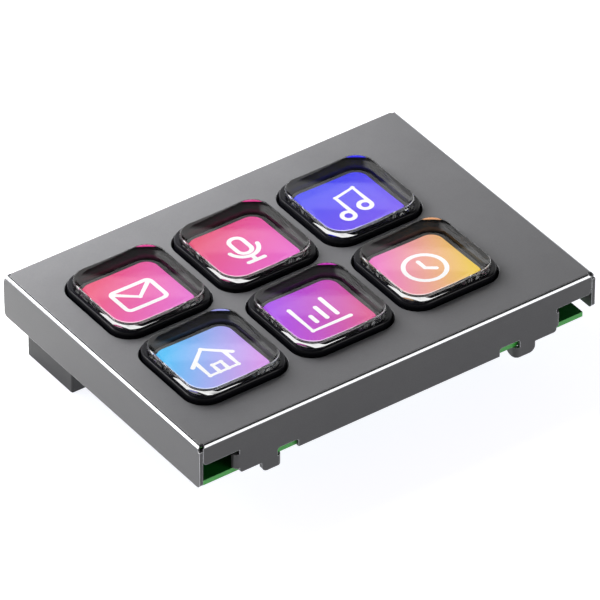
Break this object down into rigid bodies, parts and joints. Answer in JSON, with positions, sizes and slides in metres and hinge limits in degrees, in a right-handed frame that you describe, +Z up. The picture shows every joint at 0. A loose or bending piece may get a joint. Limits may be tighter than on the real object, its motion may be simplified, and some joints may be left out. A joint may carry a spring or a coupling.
{
  "type": "display key module",
  "caption": "Built-in control pad: a folded sheet cover over stacked boards, with square clear-capped display keys that press down.",
  "frame": {"origin": "middle of the bounding box, at the foot of the port housing", "axes": "+X along the long edge of the cover, +Y to the back, +Z up out of the key face"},
  "size_m": [0.084, 0.0596, 0.0181],
  "materials": {
    "cover_paint": "gunmetal grey powder coat on sheet steel, satin",
    "lens_clear": "clear moulded acrylic, polished",
    "skirt_black": "glossy black moulding",
    "spring_silicone": "translucent grey silicone, matt",
    "screen_1": "lit display picture, a two-colour blend with one plain white symbol",
    "screen_2": "lit display picture, a two-colour blend with one plain white symbol",
    "screen_3": "lit display picture, a two-colour blend with one plain white symbol",
    "screen_4": "lit display picture, a two-colour blend with one plain white symbol",
    "screen_5": "lit display picture, a two-colour blend with one plain white symbol",
    "screen_6": "lit display picture, a two-colour blend with one plain white symbol",
    "moulding_black": "black moulded plastic, fine texture",
    "tail_film": "amber polyimide film",
    "board_green": "green solder mask over fibreglass laminate",
    "plated_steel": "nickel plated steel",
    "housing_black": "dark grey moulded plastic, plain",
    "capacitor_tan": "tan ceramic with tinned ends"
  },
  "bodies": {
    "module": {"cover": "cover_paint", "key_spring_1": "spring_silicone", "display_1": "screen_1", "key_spring_2": "spring_silicone", "display_2": "screen_2", "key_spring_3": "spring_silicone", "display_3": "screen_3", "key_spring_4": "spring_silicone", "display_4": "screen_4", "key_spring_5": "spring_silicone", "display_5": "screen_5", "key_spring_6": "spring_silicone", "display_6": "screen_6", "display_bases": "moulding_black", "display_tails": "tail_film", "display_connectors": "moulding_black", "key_carrier": "moulding_black", "key_board": "board_green", "main_board": "board_green", "board_spacers": "plated_steel", "stack_screws": "plated_steel", "board_header": "moulding_black", "board_plug": "moulding_black", "port_housing": "housing_black", "socket_shell": "plated_steel", "socket_tongue": "moulding_black", "mounting_nuts": "plated_steel", "mcu": "moulding_black", "flash_chip": "moulding_black", "regulator": "moulding_black", "crystal": "plated_steel", "inductor": "moulding_black", "capacitors": "capacitor_tan", "resistors": "moulding_black"},
    "key_1": {"key_lens_1": "lens_clear", "key_skirt_1": "skirt_black"},
    "key_2": {"key_lens_2": "lens_clear", "key_skirt_2": "skirt_black"},
    "key_3": {"key_lens_3": "lens_clear", "key_skirt_3": "skirt_black"},
    "key_4": {"key_lens_4": "lens_clear", "key_skirt_4": "skirt_black"},
    "key_5": {"key_lens_5": "lens_clear", "key_skirt_5": "skirt_black"},
    "key_6": {"key_lens_6": "lens_clear", "key_skirt_6": "skirt_black"}
  },
  "joints": [
    {"name": "key_1_press", "type": "slide", "parent": "module", "child": "key_1", "axis": [0, 0, -1], "range_m": [0, 0.0009], "stiffness_N_per_m": 600, "springref_m": -0.0005, "deforming": ["key_spring_1"]},
    {"name": "key_2_press", "type": "slide", "parent": "module", "child": "key_2", "axis": [0, 0, -1], "range_m": [0, 0.0009], "stiffness_N_per_m": 600, "springref_m": -0.0005, "deforming": ["key_spring_2"]},
    {"name": "key_3_press", "type": "slide", "parent": "module", "child": "key_3", "axis": [0, 0, -1], "range_m": [0, 0.0009], "stiffness_N_per_m": 600, "springref_m": -0.0005, "deforming": ["key_spring_3"]},
    {"name": "key_4_press", "type": "slide", "parent": "module", "child": "key_4", "axis": [0, 0, -1], "range_m": [0, 0.0009], "stiffness_N_per_m": 600, "springref_m": -0.0005, "deforming": ["key_spring_4"]},
    {"name": "key_5_press", "type": "slide", "parent": "module", "child": "key_5", "axis": [0, 0, -1], "range_m": [0, 0.0009], "stiffness_N_per_m": 600, "springref_m": -0.0005, "deforming": ["key_spring_5"]},
    {"name": "key_6_press", "type": "slide", "parent": "module", "child": "key_6", "axis": [0, 0, -1], "range_m": [0, 0.0009], "stiffness_N_per_m": 600, "springref_m": -0.0005, "deforming": ["key_spring_6"]}
  ]
}
